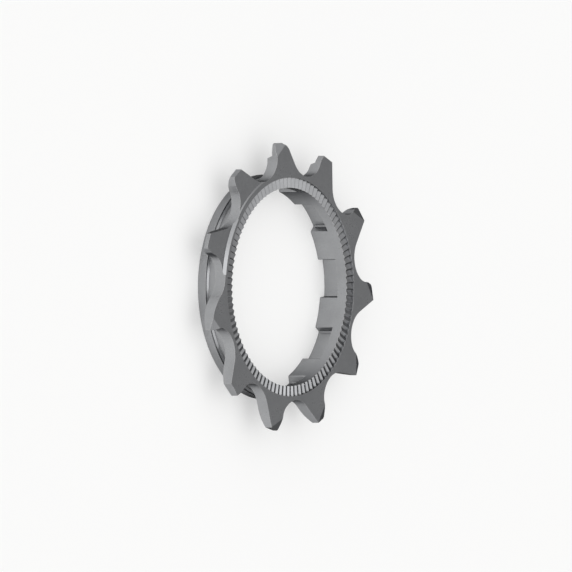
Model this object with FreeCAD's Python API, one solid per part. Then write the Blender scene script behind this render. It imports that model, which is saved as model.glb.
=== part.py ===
import FreeCAD, Part
import math
import os

from FreeCAD import Rotation, Vector

# Cassette cog with eleven teeth, forged and milled in one piece with the spacer collar
# behind it. It lies on the rear face of the collar at Z = 0, with its axis on Z and its
# outer, serrated face looking up. Sizes are in millimetres. Angles are in degrees and run
# anticlockwise seen from above. A tooth's own frame has its centre line on +X and the
# anticlockwise side on +Y, so the chain pulls on the flank that looks along +Y.

# Height along the axis
total_height = 5.6
plate_thickness = 2.0
flange_height = 1.55

# Chain, rollers and the gaps that take them
chain_pitch = 12.7
tooth_count = 11
tooth_pitch = 360.0 / tooth_count
pitch_radius = chain_pitch / (2 * math.sin(math.pi / tooth_count))
seat_radius = 4.44
seat_centre_radius = pitch_radius + 0.49
first_tooth_angle = -4.06

# Tooth outline, as (along the centre line, across it)
tip_back_corner = Vector(23.62, -0.47, 0)
tip_drive_corner = Vector(23.7, 2.0, 0)
drive_flank_knee = Vector(22.3, 2.34, 0)
drive_flank_blend = 2.6
tip_round = 0.4

# Turned round on the back of the tips, as (radius, depth from the back of the plate)
back_round_start = (21.2, 0.0)
back_round_middle = (22.55, 0.28)
back_round_end = (23.85, 0.92)

# Milled facet on the front of the tips, which lets the chain climb on and off
facet_tilt = 20.1
facet_lean = 36.8
facet_inset = 18.6
facet_teeth = (0, 1, 3, 7, 8, 9, 10)
deep_facet_inset = 18.17
deep_facet_tooth = 6

# Teeth whose front face is milled down, as tooth: (drop, radius of the wall left standing)
lowered_faces = {4: (0.2, 18.7), 5: (0.47, 18.42)}
lowered_wall_draft = 38.0
lowered_face_end = 14.4

# Teeth stepped back on their rear face, as tooth: (depth where the step starts, radius)
rear_steps = {2: (1.15, 22.1), 3: (1.05, 21.78)}
rear_step_draft = 22.0

# Teeth whose tip is ground lower, as tooth: (along, across) at both ends of the new tip
ground_tips = {
    2: ((23.62, -1.0), (23.33, 2.8)),
    6: ((22.25, -0.4), (23.15, 2.4)),
    7: ((23.15, -1.4), (22.84, 2.8)),
}

# Teeth whose back corner is ground to an arc, as tooth: three (along, across) points
ground_corners = {
    3: ((21.75, -1.57), (22.9, -0.75), (23.5, 0.4)),
    6: ((19.7, -2.75), (21.1, -1.65), (22.45, 0.24)),
}

# Collar behind the teeth
neck_radius = 17.85
flange_radius = 18.43
neck_chamfer = 0.26
edge_break = 0.08

# Bore and the nine keys that ride in the hub body's splines
bore_radius = 16.25
spline_depth = 3.5
spline_floor_radius = 17.47
key_count = 9
key_pitch = 360.0 / key_count
first_key_angle = 25.0
key_tip_angle = 17.9
key_base_angle = 19.7
master_key_number = 4
master_key_extra_angle = 4.0
key_round = 0.25

# Recessed seat with radial serrations, which grip the lockring
serration_count = 100
serration_pitch = 360.0 / serration_count
serration_start = -0.78
seat_wall_radius = 17.92
crest_drop = 0.16
serration_depth = 0.27
# one serration, as (share of the pitch, share of the depth): crest, gentle flank, root
serration_profile = ((0.0, 0.0), (0.02, 0.0), (0.61, 1.0), (0.75, 1.0))

plate_back = total_height - plate_thickness
axis_top = Vector(0, 0, 1)
origin = Vector(0, 0, 0)


def polar(radius, angle, z=0.0):
    turn = math.radians(angle)
    return Vector(radius * math.cos(turn), radius * math.sin(turn), z)


def turned(point, angle):
    return Rotation(axis_top, angle).multVec(point)


def rotated(shape, angle):
    copy = shape.copy()
    copy.rotate(origin, axis_top, angle)
    return copy


def tooth_angle(tooth):
    return first_tooth_angle + tooth * tooth_pitch


def section_point(radius, z):
    return Vector(radius, 0, z)


def revolve_edges(edges):
    return Part.Face(Part.Wire(edges)).revolve(origin, axis_top, 360)


def revolve_section(points):
    # points are (radius, z) pairs of a closed section
    corners = [section_point(radius, z) for radius, z in points]
    return revolve_edges(Part.makePolygon(corners + corners[:1]).Edges)


def tangent_point(outside, centre, radius, side):
    # where a line from the outside point touches a circle, on the chosen side of it
    reach = centre - outside
    distance = reach.Length
    swing = side * math.degrees(math.asin(radius / distance))
    run = math.sqrt(distance ** 2 - radius ** 2)
    return outside + turned(reach * (run / distance), swing)


def step_towards(start, goal, distance):
    way = goal - start
    return start + way * (distance / way.Length)


def arc_point(centre, start, end):
    # the middle of the shorter arc between two points at one distance from a centre
    middle = (start - centre) + (end - centre)
    return centre + middle * ((start - centre).Length / middle.Length)


# One tooth and the gap after it, as edges in the tooth's frame
def tooth_edges():
    seat_before = polar(seat_centre_radius, -tooth_pitch / 2)
    seat_after = polar(seat_centre_radius, tooth_pitch / 2)
    back_flank_foot = tangent_point(tip_back_corner, seat_before, seat_radius, -1)

    # round between the tip land and the flank that the chain pulls on
    round_start = step_towards(tip_drive_corner, tip_back_corner, tip_round)
    round_end = step_towards(tip_drive_corner, drive_flank_knee, tip_round)
    round_middle = tip_drive_corner * 0.4 + (round_start + round_end) * 0.3

    # blend from the foot of that flank, along the centre line, into the roller seat
    centre_gap = seat_radius - drive_flank_blend
    blend_y = drive_flank_knee.y + drive_flank_blend
    blend_x = seat_after.x - math.sqrt(centre_gap ** 2 - (seat_after.y - blend_y) ** 2)
    blend_centre = Vector(blend_x, blend_y, 0)
    blend_start = Vector(blend_x, drive_flank_knee.y, 0)
    outward = blend_centre - seat_after
    blend_end = seat_after + outward * (seat_radius / outward.Length)

    seat_bottom = polar(seat_centre_radius - seat_radius, tooth_pitch / 2)
    seat_end = turned(back_flank_foot, tooth_pitch)
    return [
        Part.LineSegment(back_flank_foot, tip_back_corner).toShape(),
        Part.LineSegment(tip_back_corner, round_start).toShape(),
        Part.Arc(round_start, round_middle, round_end).toShape(),
        Part.LineSegment(round_end, drive_flank_knee).toShape(),
        Part.LineSegment(drive_flank_knee, blend_start).toShape(),
        Part.Arc(blend_start, arc_point(blend_centre, blend_start, blend_end), blend_end).toShape(),
        Part.Arc(blend_end, seat_bottom, seat_end).toShape(),
    ]


# Plate with all the teeth, thinned at the back of the tips
def make_plate():
    edges = []
    for tooth in range(tooth_count):
        edges += [rotated(edge, tooth_angle(tooth)) for edge in tooth_edges()]
    outline = Part.Face(Part.Wire(edges))
    outline.translate(Vector(0, 0, plate_back))
    plate = outline.extrude(Vector(0, 0, plate_thickness))
    start, middle, end = [
        section_point(radius, plate_back + rise)
        for radius, rise in (back_round_start, back_round_middle, back_round_end)
    ]
    top_centre = section_point(0, total_height)
    back_centre = section_point(0, plate_back)
    rest = [end, section_point(end.x, total_height), top_centre, back_centre, start]
    blank = revolve_edges([Part.Arc(start, middle, end).toShape()] + Part.makePolygon(rest).Edges)
    return plate.common(blank)


# Cutter for the front facet of one tooth: a block whose lower face is the facet
def facet_cutter(tooth, inset):
    length, reach, height = 6.0, 4.0, 3.0
    block = Part.makeBox(reach, length, height, Vector(0, -length / 2, 0))
    block.rotate(origin, Vector(0, 1, 0), facet_tilt)
    block.translate(Vector(inset, 0, total_height))
    block.rotate(origin, axis_top, facet_lean)
    # slide along the facet's edge to the middle of the tip
    slide = math.tan(math.radians(facet_lean)) * inset
    block.translate(polar(slide, facet_lean - 90))
    return rotated(block, tooth_angle(tooth))


# Sector that holds one tooth, from the middle of the gap before it
def tooth_sector(shape, tooth, sector_end):
    reach = 40.0
    start = polar(reach, tooth_angle(tooth) - tooth_pitch / 2)
    end = polar(reach, tooth_angle(tooth) + sector_end)
    wedge = Part.Face(Part.makePolygon([origin, start, end, origin]))
    return shape.common(wedge.extrude(Vector(0, 0, 2 * total_height)))


# Cutter that mills a tooth's front face down as far in as a sloping wall
def lowered_face_cutter(tooth, drop, wall_radius):
    outer = 30.0
    above = 1.0
    draft = math.tan(math.radians(lowered_wall_draft))
    ring = revolve_section([
        (wall_radius + drop * draft, total_height - drop),
        (outer, total_height - drop),
        (outer, total_height + above),
        (wall_radius - above * draft, total_height + above),
    ])
    return tooth_sector(ring, tooth, lowered_face_end)


# Cutter that steps the rear face of a tooth back beyond a radius
def rear_step_cutter(tooth, depth, wall_radius):
    outer = 30.0
    below = 1.0
    draft = math.tan(math.radians(rear_step_draft))
    step = total_height - depth
    ring = revolve_section([
        (wall_radius, step),
        (outer, step),
        (outer, plate_back - below),
        (wall_radius - (step - plate_back + below) * draft, plate_back - below),
    ])
    return tooth_sector(ring, tooth, tooth_pitch / 2)


# Cutter for a ground tip or corner: everything beyond a line or an arc
def grinding_cutter(tooth, edge, start, end):
    far = 30.0
    beyond = [end, Vector(far, end.y, 0), Vector(far, start.y, 0), start]
    face = Part.Face(Part.Wire([edge] + Part.makePolygon(beyond).Edges))
    return rotated(face.extrude(Vector(0, 0, 2 * total_height)), tooth_angle(tooth))


def ground_tip_cutter(tooth, ends):
    start, end = [Vector(x, y, 0) for x, y in ends]
    return grinding_cutter(tooth, Part.LineSegment(start, end).toShape(), start, end)


def ground_corner_cutter(tooth, points):
    start, middle, end = [Vector(x, y, 0) for x, y in points]
    return grinding_cutter(tooth, Part.Arc(start, middle, end).toShape(), start, end)


# Collar: flange at the back, a neck in front of it and a small chamfer between them
def make_collar():
    return revolve_section([
        (0, 0),
        (flange_radius - edge_break, 0),
        (flange_radius, edge_break),
        (flange_radius, flange_height),
        (neck_radius + neck_chamfer, flange_height),
        (neck_radius, flange_height + neck_chamfer),
        (neck_radius, total_height),
        (0, total_height),
    ])


# Where a line, moved sideways, meets a circle about the axis
def meet_circle(start, direction, sideways, radius):
    base = start + sideways
    along = base.dot(direction)
    return base + direction * (math.sqrt(along ** 2 - base.dot(base) + radius ** 2) - along)


# Anticlockwise flank of a key with both its rounds, as points in the key's own frame
def key_flank(extra):
    tip = polar(bore_radius, (key_tip_angle + extra) / 2)
    base = polar(spline_floor_radius, (key_base_angle + extra) / 2)
    direction = (base - tip).normalize()
    into_slot = turned(direction, 90)
    into_key = into_slot * -1

    tip_centre = meet_circle(tip, direction, into_key * key_round, bore_radius + key_round)
    floor_centre = meet_circle(tip, direction, into_slot * key_round, spline_floor_radius - key_round)
    on_bore = tip_centre * (bore_radius / tip_centre.Length)
    tip_end = tip_centre + into_slot * key_round
    floor_start = floor_centre + into_key * key_round
    on_floor = floor_centre * (spline_floor_radius / floor_centre.Length)
    return [
        on_bore * ((bore_radius - 1.0) / bore_radius),
        on_bore,
        arc_point(tip_centre, on_bore, tip_end),
        tip_end,
        floor_start,
        arc_point(floor_centre, floor_start, on_floor),
        on_floor,
    ]


def flank_edges(points):
    return [
        Part.LineSegment(points[0], points[1]).toShape(),
        Part.Arc(*points[1:4]).toShape(),
        Part.LineSegment(points[3], points[4]).toShape(),
        Part.Arc(*points[4:7]).toShape(),
    ]


# One slot between two keys, milled in from the rear face
def slot_cutter(key):
    def extra(number):
        return master_key_extra_angle if number % key_count == master_key_number else 0.0

    start_angle = first_key_angle + key * key_pitch
    start = [turned(point, start_angle) for point in key_flank(extra(key))]
    mirrored = [Vector(point.x, -point.y, 0) for point in key_flank(extra(key + 1))]
    end = [turned(point, start_angle + key_pitch) for point in mirrored]
    floor = Part.Arc(start[-1], polar(spline_floor_radius, start_angle + key_pitch / 2), end[-1])
    mouth = Part.LineSegment(end[0], start[0])
    edges = flank_edges(start) + [floor.toShape()] + flank_edges(end)[::-1] + [mouth.toShape()]
    return Part.Face(Part.Wire(edges)).extrude(Vector(0, 0, spline_depth))


# Everything above the serrations inside the recess: planes that all run to the axis
def serration_cutter():
    crest_z = total_height - crest_drop
    top_z = total_height + 1.0
    inner = bore_radius - 1.0
    outer = seat_wall_radius + 1.0

    def quad(*corners):
        return Part.Face(Part.makePolygon(list(corners) + [corners[0]]))

    def rim(radius):
        # the serrated edge at one radius, and the level edge above it
        low = []
        for number in range(serration_count):
            for pitch_share, depth_share in serration_profile:
                angle = serration_start + (number + pitch_share) * serration_pitch
                fall = serration_depth * depth_share * radius / seat_wall_radius
                low.append(polar(radius, angle, crest_z - fall))
        high = [Vector(point.x, point.y, top_z) for point in low]
        return low + low[:1], high + high[:1]

    inner_low, inner_high = rim(inner)
    outer_low, outer_high = rim(outer)
    faces = []
    for index in range(len(inner_low) - 1):
        after = index + 1
        faces.append(quad(inner_low[index], outer_low[index], outer_low[after], inner_low[after]))
        faces.append(quad(inner_low[index], inner_low[after], inner_high[after], inner_high[index]))
        faces.append(quad(outer_low[index], outer_low[after], outer_high[after], outer_high[index]))
    lid = Part.Face(Part.makePolygon(outer_high)).cut(Part.Face(Part.makePolygon(inner_high)))
    shell = Part.makeShell(faces + lid.Faces)
    shell.sewShape()
    recess = Part.makeCylinder(seat_wall_radius, 2 * total_height)
    return Part.makeSolid(shell).common(recess)


def make_cog():
    plate = make_plate()
    cutters = [facet_cutter(tooth, facet_inset) for tooth in facet_teeth]
    cutters.append(facet_cutter(deep_facet_tooth, deep_facet_inset))
    cutters += [lowered_face_cutter(tooth, *sizes) for tooth, sizes in lowered_faces.items()]
    cutters += [rear_step_cutter(tooth, *sizes) for tooth, sizes in rear_steps.items()]
    cutters += [ground_tip_cutter(tooth, ends) for tooth, ends in ground_tips.items()]
    cutters += [ground_corner_cutter(tooth, points) for tooth, points in ground_corners.items()]
    for cutter in cutters:
        plate = plate.cut(cutter)
    cog = plate.fuse(make_collar()).removeSplitter()
    cog = cog.cut(Part.makeCylinder(bore_radius, 2 * total_height))
    for key in range(key_count):
        cog = cog.cut(slot_cutter(key))
    cog = cog.cut(serration_cutter())
    return cog.Solids[0]


cog = make_cog()
os.makedirs("parts", exist_ok=True)
cog.exportStep("parts/cassette_cog.step")
print("solid valid:", cog.isValid())
print("volume, mm3:", round(cog.Volume, 2))
print("height:", round(cog.BoundBox.ZLength, 3))
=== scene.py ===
import math

import bpy
from mathutils import Matrix, Vector

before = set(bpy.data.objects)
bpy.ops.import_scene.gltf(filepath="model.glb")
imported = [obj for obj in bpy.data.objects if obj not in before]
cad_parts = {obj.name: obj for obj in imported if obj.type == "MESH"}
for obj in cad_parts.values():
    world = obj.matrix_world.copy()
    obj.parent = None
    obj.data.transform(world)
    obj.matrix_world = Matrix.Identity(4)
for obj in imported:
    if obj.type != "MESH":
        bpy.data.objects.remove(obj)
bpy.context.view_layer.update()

# Cassette cog lying on white studio paper. Lengths in the settings are in millimetres.
mm = 0.001


def hexColour(code):
    # sRGB hex to the linear colour that Blender's sockets hold
    parts = [int(code[start:start + 2], 16) / 255 for start in (1, 3, 5)]
    linear = [part / 12.92 if part <= 0.04045 else ((part + 0.055) / 1.055) ** 2.4 for part in parts]
    return (*linear, 1.0)


def addNode(tree, kind, settings=None, inputs=None):
    # one node, its settings, and its inputs as values or as sockets to link from
    node = tree.nodes.new(kind)
    for name, value in (settings or {}).items():
        setattr(node, name, value)
    for key, value in (inputs or {}).items():
        if isinstance(value, bpy.types.NodeSocket):
            tree.links.new(value, node.inputs[key])
        else:
            node.inputs[key].default_value = value
    return node


def newMaterial(name):
    material = bpy.data.materials.new(name)
    material.use_nodes = True
    material.node_tree.nodes.clear()
    return material, material.node_tree


# The cog's steel

cogSteel = {
    "steelColour": "#A6A7A9",        # satin nickel over forged steel
    "dullColour": "#9C9D9F",         # where the plating is thin and matt
    "bareColour": "#D2D2D0",         # steel rubbed bright along the edges
    "paintedShadeColour": "#3F3E3C",       # painted shade, dark grey laid into corners and grooves
    "grazingTint": "#1A1A1B",        # a blasted face goes dark when seen almost edge on
    "roughness": 0.3,
    "grainSpread": 0.055,            # roughness that the grain adds or takes away
    "cloudSpread": 0.07,             # roughness that the dull clouds add
    "rubbedSpread": -0.16,           # rubbed steel is smoother
    "relief": 0.6,                   # strength of all the relief below
    "grain": 0.24,                   # blasting grit is near 0.08 mm, drawn coarser so that it shows
    "grainHeight": 0.014,
    "grainShade": 0.05,              # how far the grit pits darken the plating
    "turningPitch": 0.2,             # lathe feed is near 0.12 mm, drawn coarser on the flat faces
    "turningHeight": 0.018,
    "broachPitch": 0.2,              # cutter drag near 0.1 mm, drawn coarser on the cut walls
    "broachHeight": 0.016,
    "broachRadius": 20.0,            # where those lines have that spacing, near the teeth
    "broachStretch": 0.08,           # they change this much slower along the axis
    "blotch": 6.0,                   # clouds in the plating
    "edgeRound": 0.03,               # tumbled edges
    "wearWidth": 0.11,
    "wearPatch": 1.1,                # handling rubs an edge in patches
    "leastWear": 0.25,
    "mostWear": 0.8,
    # how far the painted corner shade reaches, and how strong it gets
    "paintedShadeReach": 0.4,
    "mostPaintedShade": 0.5,
}


def makeCogSteel(settings):
    # forged, milled, then blasted and nickel plated: soft grey sheen, fine grain,
    # faint machining lines and bright, slightly rounded edges
    material, tree = newMaterial("satinNickelledSteel")

    place = addNode(tree, "ShaderNodeTexCoord")
    point = addNode(tree, "ShaderNodeVectorMath", {"operation": "SCALE"}, {
        0: place.outputs["Object"], "Scale": 1 / mm})          # metres to millimetres
    split = addNode(tree, "ShaderNodeSeparateXYZ", None, {0: point.outputs[0]})
    flatPoint = addNode(tree, "ShaderNodeVectorMath", {"operation": "MULTIPLY"}, {
        0: point.outputs[0], 1: (1, 1, 0)})
    radius = addNode(tree, "ShaderNodeVectorMath", {"operation": "LENGTH"}, {
        0: flatPoint.outputs[0]})
    angle = addNode(tree, "ShaderNodeMath", {"operation": "ARCTAN2"}, {
        0: split.outputs["Y"], 1: split.outputs["X"]})
    surface = addNode(tree, "ShaderNodeNewGeometry")
    facing = addNode(tree, "ShaderNodeSeparateXYZ", None, {0: surface.outputs["True Normal"]})
    upright = addNode(tree, "ShaderNodeMath", {"operation": "ABSOLUTE"}, {0: facing.outputs["Z"]})
    onFlat = addNode(tree, "ShaderNodeMapRange", {"interpolation_type": "SMOOTHSTEP"}, {
        "Value": upright.outputs[0], "From Min": 0.9, "From Max": 0.99})
    onWall = addNode(tree, "ShaderNodeMapRange", {"interpolation_type": "SMOOTHSTEP"}, {
        "Value": upright.outputs[0], "From Min": 0.5, "From Max": 0.1})

    # blasted grain
    grain = addNode(tree, "ShaderNodeTexNoise", None, {
        "Vector": point.outputs[0], "Scale": 1 / settings["grain"], "Detail": 4.0,
        "Roughness": 0.6})
    # clouds in the plating
    blotch = addNode(tree, "ShaderNodeTexNoise", None, {
        "Vector": point.outputs[0], "Scale": 1 / settings["blotch"], "Detail": 3.0,
        "Roughness": 0.55})

    # concentric turning lines on flat faces: noise squeezed along the radius
    turnedPlace = addNode(tree, "ShaderNodeCombineXYZ", None, {
        "X": radius.outputs["Value"], "Y": angle.outputs[0], "Z": split.outputs["Z"]})
    turnedLines = addNode(tree, "ShaderNodeTexNoise", None, {
        "Vector": turnedPlace.outputs[0], "Scale": 1 / settings["turningPitch"],
        "Detail": 2.0, "Roughness": 0.5})
    # drag lines along the axis on the cut walls: noise squeezed round the rim
    aroundRim = addNode(tree, "ShaderNodeMath", {"operation": "MULTIPLY"}, {
        0: angle.outputs[0], 1: settings["broachRadius"]})      # angle to arc length
    alongAxis = addNode(tree, "ShaderNodeMath", {"operation": "MULTIPLY"}, {
        0: split.outputs["Z"], 1: settings["broachStretch"]})
    broachPlace = addNode(tree, "ShaderNodeCombineXYZ", None, {
        "X": aroundRim.outputs[0], "Y": alongAxis.outputs[0], "Z": radius.outputs["Value"]})
    broachLines = addNode(tree, "ShaderNodeTexNoise", None, {
        "Vector": broachPlace.outputs[0], "Scale": 1 / settings["broachPitch"],
        "Detail": 2.0, "Roughness": 0.5})

    # painted shade: corners and grooves darkened where ambient occlusion finds close surfaces
    closeness = addNode(tree, "ShaderNodeAmbientOcclusion", {"samples": 6}, {
        "Distance": settings["paintedShadeReach"] * mm})
    paintedShade = addNode(tree, "ShaderNodeMapRange", None, {
        "Value": closeness.outputs["AO"], "From Min": 0.75, "From Max": 0.35,
        "To Min": 0.0, "To Max": settings["mostPaintedShade"]})

    # bright rubbed edges: where a rounded normal leaves the true one, broken up by noise,
    # and only on corners that stand out
    roundedNormal = addNode(tree, "ShaderNodeBevel", {"samples": 6}, {
        "Radius": settings["wearWidth"] * mm})
    agreement = addNode(tree, "ShaderNodeVectorMath", {"operation": "DOT_PRODUCT"}, {
        0: roundedNormal.outputs[0], 1: surface.outputs["Normal"]})
    edge = addNode(tree, "ShaderNodeMapRange", {"interpolation_type": "SMOOTHSTEP"}, {
        "Value": agreement.outputs["Value"], "From Min": 0.995, "From Max": 0.88})
    rubbed = addNode(tree, "ShaderNodeTexNoise", None, {
        "Vector": point.outputs[0], "Scale": 1 / settings["wearPatch"], "Detail": 3.0,
        "Roughness": 0.65})
    patchy = addNode(tree, "ShaderNodeMapRange", None, {
        "Value": rubbed.outputs["Fac"], "From Min": 0.38, "From Max": 0.62,
        "To Min": settings["leastWear"], "To Max": settings["mostWear"]})
    standsOut = addNode(tree, "ShaderNodeMapRange", None, {
        "Value": closeness.outputs["AO"], "From Min": 0.6, "From Max": 0.85})
    rubbedEdge = addNode(tree, "ShaderNodeMath", {"operation": "MULTIPLY"}, {
        0: edge.outputs[0], 1: standsOut.outputs[0]})
    wear = addNode(tree, "ShaderNodeMath", {"operation": "MULTIPLY"}, {
        0: rubbedEdge.outputs[0], 1: patchy.outputs[0]})

    # colour
    clouds = addNode(tree, "ShaderNodeMapRange", None, {
        "Value": blotch.outputs["Fac"], "From Min": 0.35, "From Max": 0.7})
    plated = addNode(tree, "ShaderNodeMix", {"data_type": "RGBA"}, {
        "Factor": clouds.outputs[0], "A": hexColour(settings["steelColour"]),
        "B": hexColour(settings["dullColour"])})
    pits = addNode(tree, "ShaderNodeMapRange", None, {
        "Value": grain.outputs["Fac"], "From Min": 0.35, "From Max": 0.65,
        "To Min": 1 - settings["grainShade"], "To Max": 1 + settings["grainShade"]})
    pitted = addNode(tree, "ShaderNodeVectorMath", {"operation": "SCALE"}, {
        0: plated.outputs["Result"], "Scale": pits.outputs[0]})
    # painted shade mixed into the plating colour in corners and grooves
    withPaintedShade = addNode(tree, "ShaderNodeMix", {"data_type": "RGBA"}, {
        "Factor": paintedShade.outputs[0], "A": pitted.outputs[0],
        "B": hexColour(settings["paintedShadeColour"])})
    coloured = addNode(tree, "ShaderNodeMix", {"data_type": "RGBA"}, {
        "Factor": wear.outputs[0], "A": withPaintedShade.outputs["Result"],
        "B": hexColour(settings["bareColour"])})

    # roughness: grain and clouds on the plating, smoother where rubbed
    grainSpread = addNode(tree, "ShaderNodeMapRange", None, {
        "Value": grain.outputs["Fac"], "From Min": 0.3, "From Max": 0.7,
        "To Min": settings["roughness"] - settings["grainSpread"],
        "To Max": settings["roughness"] + settings["grainSpread"]})
    cloudSpread = addNode(tree, "ShaderNodeMath", {"operation": "MULTIPLY_ADD"}, {
        0: clouds.outputs[0], 1: settings["cloudSpread"], 2: grainSpread.outputs[0]})
    finish = addNode(tree, "ShaderNodeMath", {"operation": "MULTIPLY_ADD"}, {
        0: wear.outputs[0], 1: settings["rubbedSpread"], 2: cloudSpread.outputs[0]})

    # relief: grain everywhere, turning lines on flats, drag lines on walls
    turnedHeight = addNode(tree, "ShaderNodeMath", {"operation": "MULTIPLY"}, {
        0: turnedLines.outputs["Fac"], 1: onFlat.outputs[0]})
    broachHeight = addNode(tree, "ShaderNodeMath", {"operation": "MULTIPLY"}, {
        0: broachLines.outputs["Fac"], 1: onWall.outputs[0]})
    softNormal = addNode(tree, "ShaderNodeBevel", {"samples": 6}, {
        "Radius": settings["edgeRound"] * mm})
    grainRelief = addNode(tree, "ShaderNodeBump", None, {
        "Strength": settings["relief"], "Distance": settings["grainHeight"] * mm,
        "Height": grain.outputs["Fac"], "Normal": softNormal.outputs[0]})
    turnedRelief = addNode(tree, "ShaderNodeBump", None, {
        "Strength": settings["relief"], "Distance": settings["turningHeight"] * mm,
        "Height": turnedHeight.outputs[0], "Normal": grainRelief.outputs[0]})
    broachRelief = addNode(tree, "ShaderNodeBump", None, {
        "Strength": settings["relief"], "Distance": settings["broachHeight"] * mm,
        "Height": broachHeight.outputs[0], "Normal": turnedRelief.outputs[0]})

    shader = addNode(tree, "ShaderNodeBsdfPrincipled", None, {
        "Metallic": 1.0, "Base Color": coloured.outputs["Result"],
        "Specular Tint": hexColour(settings["grazingTint"]),
        "Roughness": finish.outputs[0], "Normal": broachRelief.outputs[0]})
    addNode(tree, "ShaderNodeOutputMaterial", None, {"Surface": shader.outputs[0]})
    return material


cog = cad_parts["cassette_cog"]
cog.data.materials.clear()
cog.data.materials.append(makeCogSteel(cogSteel))
print("cog: satin nickelled steel is on")


# Paper that the cog lies on

paper = {
    "colour": "#F4F4F3",
    "width": 12000.0,      # so wide that its end lies close to the horizon in low views
    "drop": 0.02,          # just under the collar, so the two faces don't share a plane
    "ownLight": 0.35,      # share of the paper seen as plain white; the rest keeps the shadow
}


def makePaper(settings):
    # matt seamless paper: white to the eye and in reflections, and it keeps the cog's shadow
    material, tree = newMaterial("seamlessPaper")
    matt = addNode(tree, "ShaderNodeBsdfDiffuse", None, {"Color": hexColour(settings["colour"])})
    white = addNode(tree, "ShaderNodeEmission", None, {"Color": (1, 1, 1, 1), "Strength": 1.0})
    rays = addNode(tree, "ShaderNodeLightPath")
    mirrored = addNode(tree, "ShaderNodeMath", {"operation": "MAXIMUM"}, {
        0: rays.outputs["Is Glossy Ray"], 1: rays.outputs["Is Transmission Ray"]})
    seen = addNode(tree, "ShaderNodeMath", {"operation": "MAXIMUM"}, {
        0: rays.outputs["Is Camera Ray"], 1: mirrored.outputs[0]})
    share = addNode(tree, "ShaderNodeMath", {"operation": "MULTIPLY"}, {
        0: seen.outputs[0], 1: settings["ownLight"]})
    mixed = addNode(tree, "ShaderNodeMixShader", None, {
        0: share.outputs[0], 1: matt.outputs[0], 2: white.outputs[0]})
    addNode(tree, "ShaderNodeOutputMaterial", None, {"Surface": mixed.outputs[0]})

    half = settings["width"] / 2 * mm
    level = -settings["drop"] * mm
    mesh = bpy.data.meshes.new("paperSweep")
    corners = [(-half, -half, level), (half, -half, level), (half, half, level), (-half, half, level)]
    mesh.from_pydata(corners, [], [(0, 1, 2, 3)])
    mesh.materials.append(material)
    sheet = bpy.data.objects.new("paperSweep", mesh)
    bpy.context.scene.collection.objects.link(sheet)


makePaper(paper)
print("stage: paper sweep is down")


# Camera, with a very long lens, so nearly a straight projection, turned so that the cog's
# axis leans to the right

viewpoint = {
    "towardsCamera": (-math.sqrt(2 / 3), 0, math.sqrt(1 / 3)),
    "imageUp": (0, 1, 0),
    "frameWidth": 93.62,             # what the picture takes in across the cog
    "target": (-0.473, 0.154, 4.931),
    "lens": 1200.0,
    "sensor": 36.0,
    "clipStart": 100.0,
    "clipEnd": 20000.0,
}


def makeCamera(settings):
    back = Vector(settings["towardsCamera"]).normalized()
    up = Vector(settings["imageUp"])
    right = up.cross(back)
    data = bpy.data.cameras.new("studioCamera")
    data.lens = settings["lens"]
    data.sensor_width = settings["sensor"]
    data.clip_start = settings["clipStart"] * mm
    data.clip_end = settings["clipEnd"] * mm
    camera = bpy.data.objects.new("studioCamera", data)
    turn = Matrix((right, up, back)).transposed()
    distance = settings["frameWidth"] * settings["lens"] / settings["sensor"]
    spot = Vector(settings["target"]) * mm + back * distance * mm
    camera.matrix_world = Matrix.Translation(spot) @ turn.to_4x4()
    bpy.context.scene.collection.objects.link(camera)
    bpy.context.scene.camera = camera


makeCamera(viewpoint)
print("camera: set")


# Lamps and room

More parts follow.
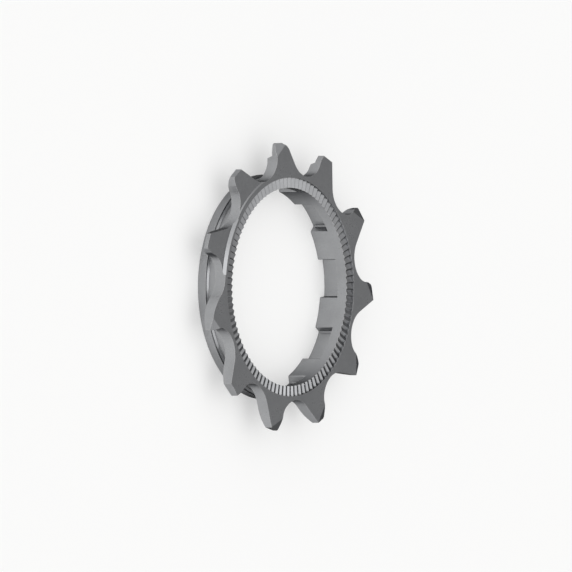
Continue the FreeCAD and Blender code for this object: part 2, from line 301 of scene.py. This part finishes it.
studio = {
    # broad, far lamps, so that the whole sheet is lit evenly: size is the angle they fill
    "lamps": {
        "cameraSoftbox": {"from": viewpoint["towardsCamera"], "size": 60.0, "strength": 0.35},
        "topSoftbox": {"from": (0, 0, 1), "size": 60.0, "strength": 0.19},
    },
    "brightSide": viewpoint["towardsCamera"],  # the room is lighter on the camera's side
    "brightRoom": 1.37,
    "dimRoom": 0.0,
    "fadeEnd": -0.85,                          # -1 would be straight away from the bright side
    "stripHeight": 0.03,                       # sine of the angle above the horizon
    "stripEnd": 0.09,                          # the strip has faded out here
    "stripStrength": 0.96,
}


def makeLight(name, settings):
    data = bpy.data.lights.new(name, "SUN")
    data.angle = math.radians(settings["size"])
    data.energy = settings["strength"]
    lamp = bpy.data.objects.new(name, data)
    lamp.rotation_mode = "QUATERNION"
    lamp.rotation_quaternion = Vector(settings["from"]).to_track_quat("Z", "Y")
    bpy.context.scene.collection.objects.link(lamp)


def makeRoom(settings):
    # walls that fade from a lit side to a dim one, so that each tilt of the metal reads,
    # and a pale strip at the horizon, which low views see just past the end of the paper
    world = bpy.data.worlds.new("studioRoom")
    bpy.context.scene.world = world
    world.use_nodes = True
    tree = world.node_tree
    tree.nodes.clear()
    way = addNode(tree, "ShaderNodeTexCoord")
    side = addNode(tree, "ShaderNodeVectorMath", {"operation": "DOT_PRODUCT"}, {
        0: way.outputs["Generated"], 1: settings["brightSide"]})
    fade = addNode(tree, "ShaderNodeMapRange", None, {
        "Value": side.outputs["Value"], "From Min": settings["fadeEnd"], "From Max": 1.0,
        "To Min": settings["dimRoom"], "To Max": settings["brightRoom"]})
    split = addNode(tree, "ShaderNodeSeparateXYZ", None, {0: way.outputs["Generated"]})
    height = addNode(tree, "ShaderNodeMath", {"operation": "ABSOLUTE"}, {0: split.outputs["Z"]})
    strip = addNode(tree, "ShaderNodeMapRange", {"interpolation_type": "SMOOTHSTEP"}, {
        "Value": height.outputs[0], "From Min": settings["stripEnd"],
        "From Max": settings["stripHeight"]})
    glow = addNode(tree, "ShaderNodeMix", {"data_type": "FLOAT"}, {
        "Factor": strip.outputs[0], "A": fade.outputs[0], "B": settings["stripStrength"]})
    walls = addNode(tree, "ShaderNodeBackground", None, {
        "Color": (1, 1, 1, 1), "Strength": glow.outputs["Result"]})
    addNode(tree, "ShaderNodeOutputWorld", None, {"Surface": walls.outputs[0]})


for lampName, lampSettings in studio["lamps"].items():
    makeLight(lampName, lampSettings)
makeRoom(studio)
bpy.context.scene.view_settings.view_transform = "Standard"
print("light: lamps and room are on")
